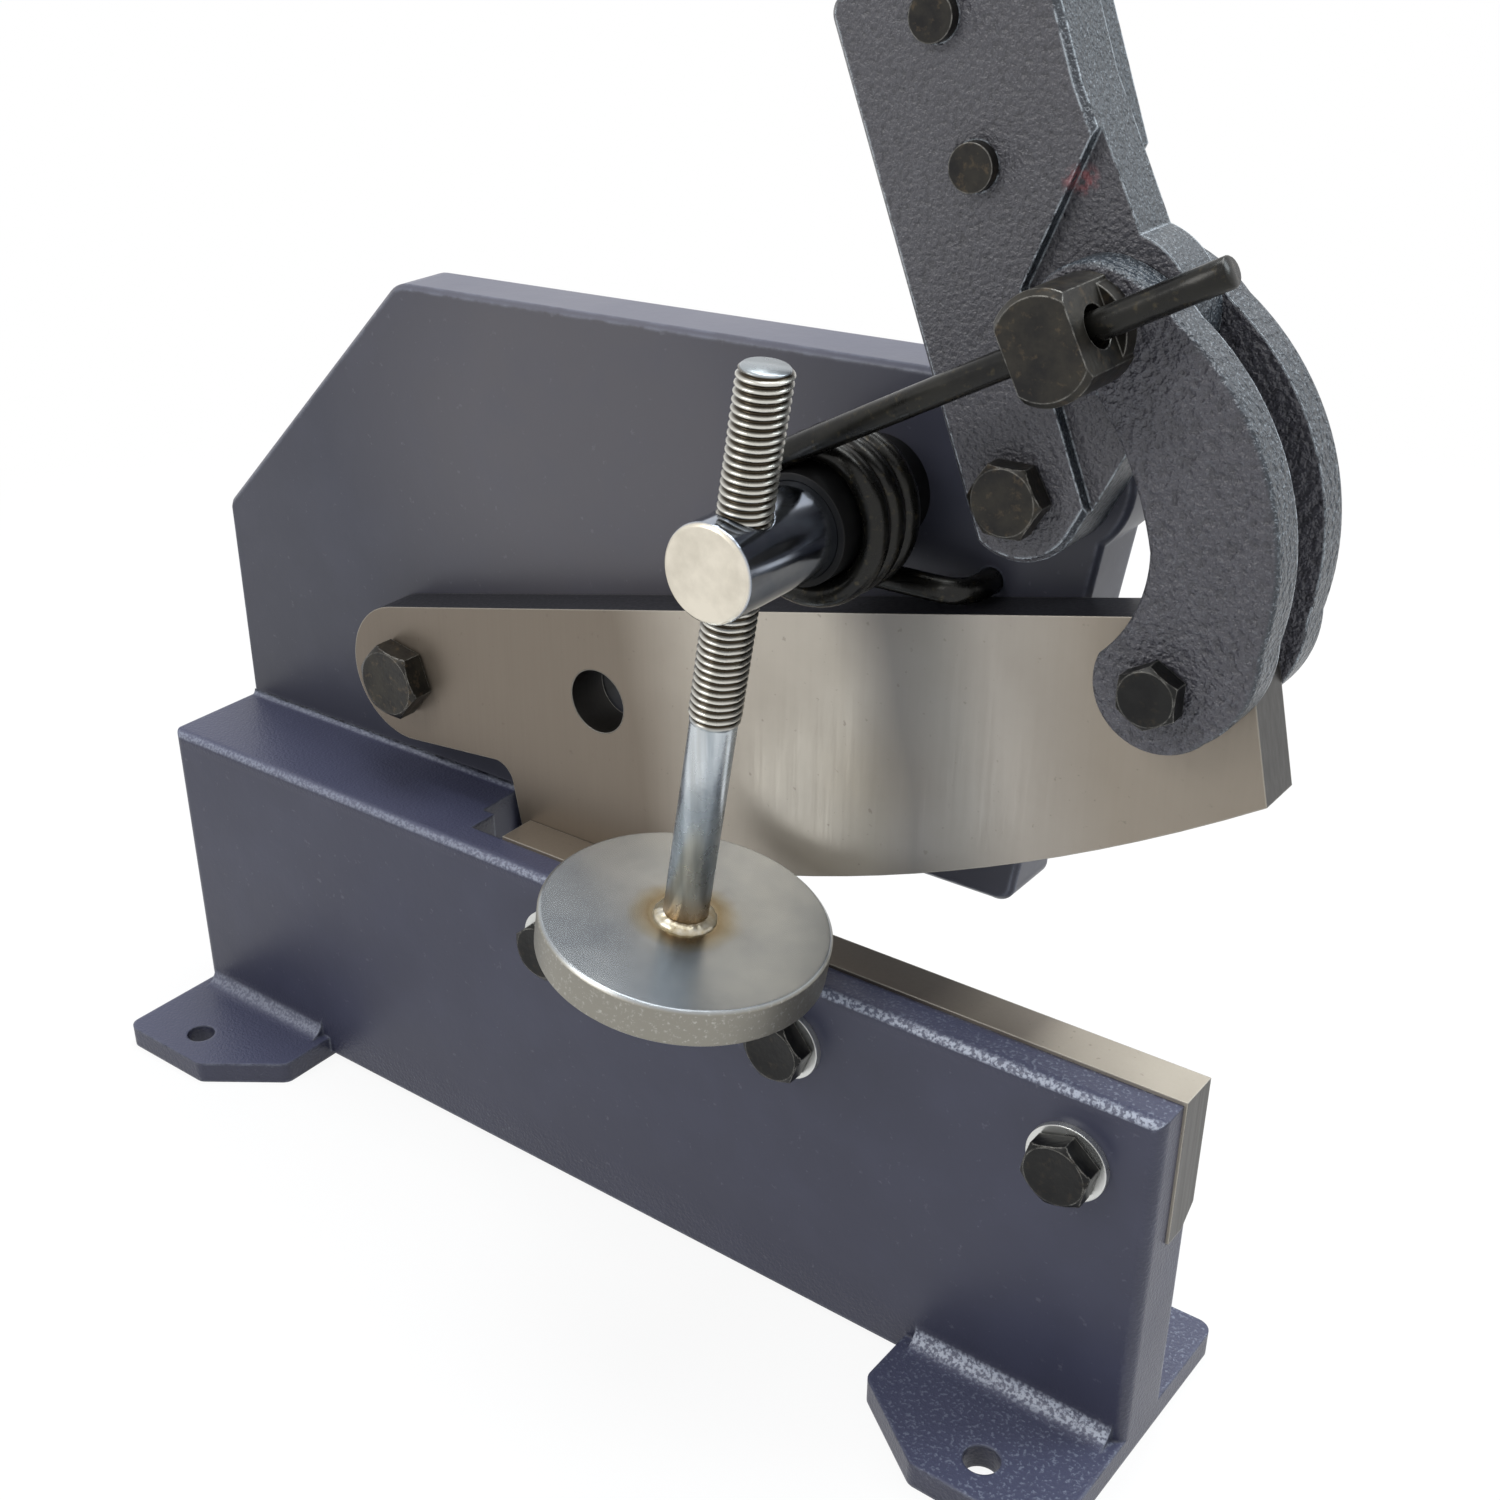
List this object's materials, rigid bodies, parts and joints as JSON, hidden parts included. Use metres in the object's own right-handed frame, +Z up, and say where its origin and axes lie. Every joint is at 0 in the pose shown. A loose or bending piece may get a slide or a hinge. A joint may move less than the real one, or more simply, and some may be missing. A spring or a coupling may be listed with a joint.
{
  "type": "hand lever shear",
  "caption": "Bench shear for plate and round bar: straight bed blade, curved upper blade driven by C-links and a hand lever, with a return spring and a screw hold-down.",
  "frame": {"origin": "centre of the rectangle of holes in the feet, at the level of the feet's undersides", "axes": "+X along the blades towards their free, cutting end; +Y from the hold-down side to the upper frame's side; +Z up"},
  "size_m": [0.3368, 0.113, 0.5954],
  "materials": {
    "frame_paint": "satin grey-blue paint over a casting",
    "blade_steel": "ground and oiled",
    "lever_iron": "rough casting, worn edges",
    "link_steel": "rough forging, worn edges",
    "handle_paint": "satin dark paint",
    "grip": "matt",
    "black_bolt": "black oxide, bright edges",
    "zinc": "zinc plated, satin",
    "chrome": "polished",
    "spring_steel": "dark, oiled",
    "sleeve_black": "satin black"
  },
  "bodies": {
    "frame": {"bed_casting": "frame_paint", "lower_blade": "blade_steel", "bed_washer_left": "zinc", "bed_washer_middle": "zinc", "bed_washer_right": "zinc", "bed_bolt_left": "black_bolt", "bed_bolt_middle": "black_bolt", "bed_bolt_right": "black_bolt", "upper_frame": "frame_paint", "blade_pivot_bolt": "black_bolt", "blade_pivot_nut": "black_bolt", "lever_pivot_bolt": "black_bolt", "lever_pivot_nut": "black_bolt", "spring_sleeve": "sleeve_black", "spring_coil": "spring_steel"},
    "blade": {"upper_blade": "blade_steel"},
    "lever": {"lever_casting": "lever_iron", "handle_bar": "handle_paint", "handle_grip": "grip", "handle_bolt_lower": "black_bolt", "handle_bolt_upper": "black_bolt"},
    "links": {"front_link": "link_steel", "back_link": "link_steel", "link_bolt": "black_bolt", "link_bolt_nut": "black_bolt"},
    "pin": {"link_pin": "black_bolt", "link_pin_nut": "black_bolt"},
    "arm": {"spring_arm": "spring_steel"},
    "boss": {"hold_down_boss": "chrome", "boss_nut": "black_bolt"},
    "spindle": {"hold_down_spindle": "zinc", "hold_down_disk": "zinc", "hold_down_weld": "zinc"}
  },
  "joints": [
    {"name": "lever_pivot", "type": "hinge", "parent": "frame", "child": "lever", "pos_m": [0.1115, 0.0215, 0.2248], "axis": [0, 1, 0], "range_deg": [0, 90], "stiffness_Nm_per_rad": 1.2, "springref_deg": -28.65},
    {"name": "blade_pivot", "type": "hinge", "parent": "frame", "child": "blade", "pos_m": [-0.0795, 0.0215, 0.1345], "axis": [0, 1, 0], "range_deg": [0, 13.65]},
    {"name": "link_pivot", "type": "hinge", "parent": "lever", "child": "links", "pos_m": [0.1267, 0.0215, 0.262], "axis": [0, 1, 0], "range_deg": [-78.32, 0]},
    {"name": "pin_pivot", "type": "hinge", "parent": "lever", "child": "pin", "pos_m": [0.1267, 0.0215, 0.262], "axis": [0, 1, 0], "range_deg": [-48.1, 0]},
    {"name": "spring_turn", "type": "hinge", "parent": "frame", "child": "arm", "pos_m": [0.0698, -0.0032, 0.2145], "axis": [0, 1, 0], "range_deg": [0, 42]},
    {"name": "hold_down_swivel", "type": "hinge", "parent": "frame", "child": "boss", "pos_m": [0.0698, -0.006, 0.2145], "axis": [0, 1, 0], "range_deg": [-10, 10]},
    {"name": "hold_down_screw", "type": "slide", "parent": "boss", "child": "spindle", "axis": [0.1633, 0, 0.9866], "range_m": [0, 0.025]}
  ],
  "couplings": [
    {"joint": "blade_pivot", "follows": "lever_pivot", "ratio": 0.1515},
    {"joint": "link_pivot", "follows": "lever_pivot", "ratio": -0.87},
    {"joint": "pin_pivot", "follows": "lever_pivot", "ratio": -0.534},
    {"joint": "spring_turn", "follows": "lever_pivot", "ratio": 0.466}
  ]
}
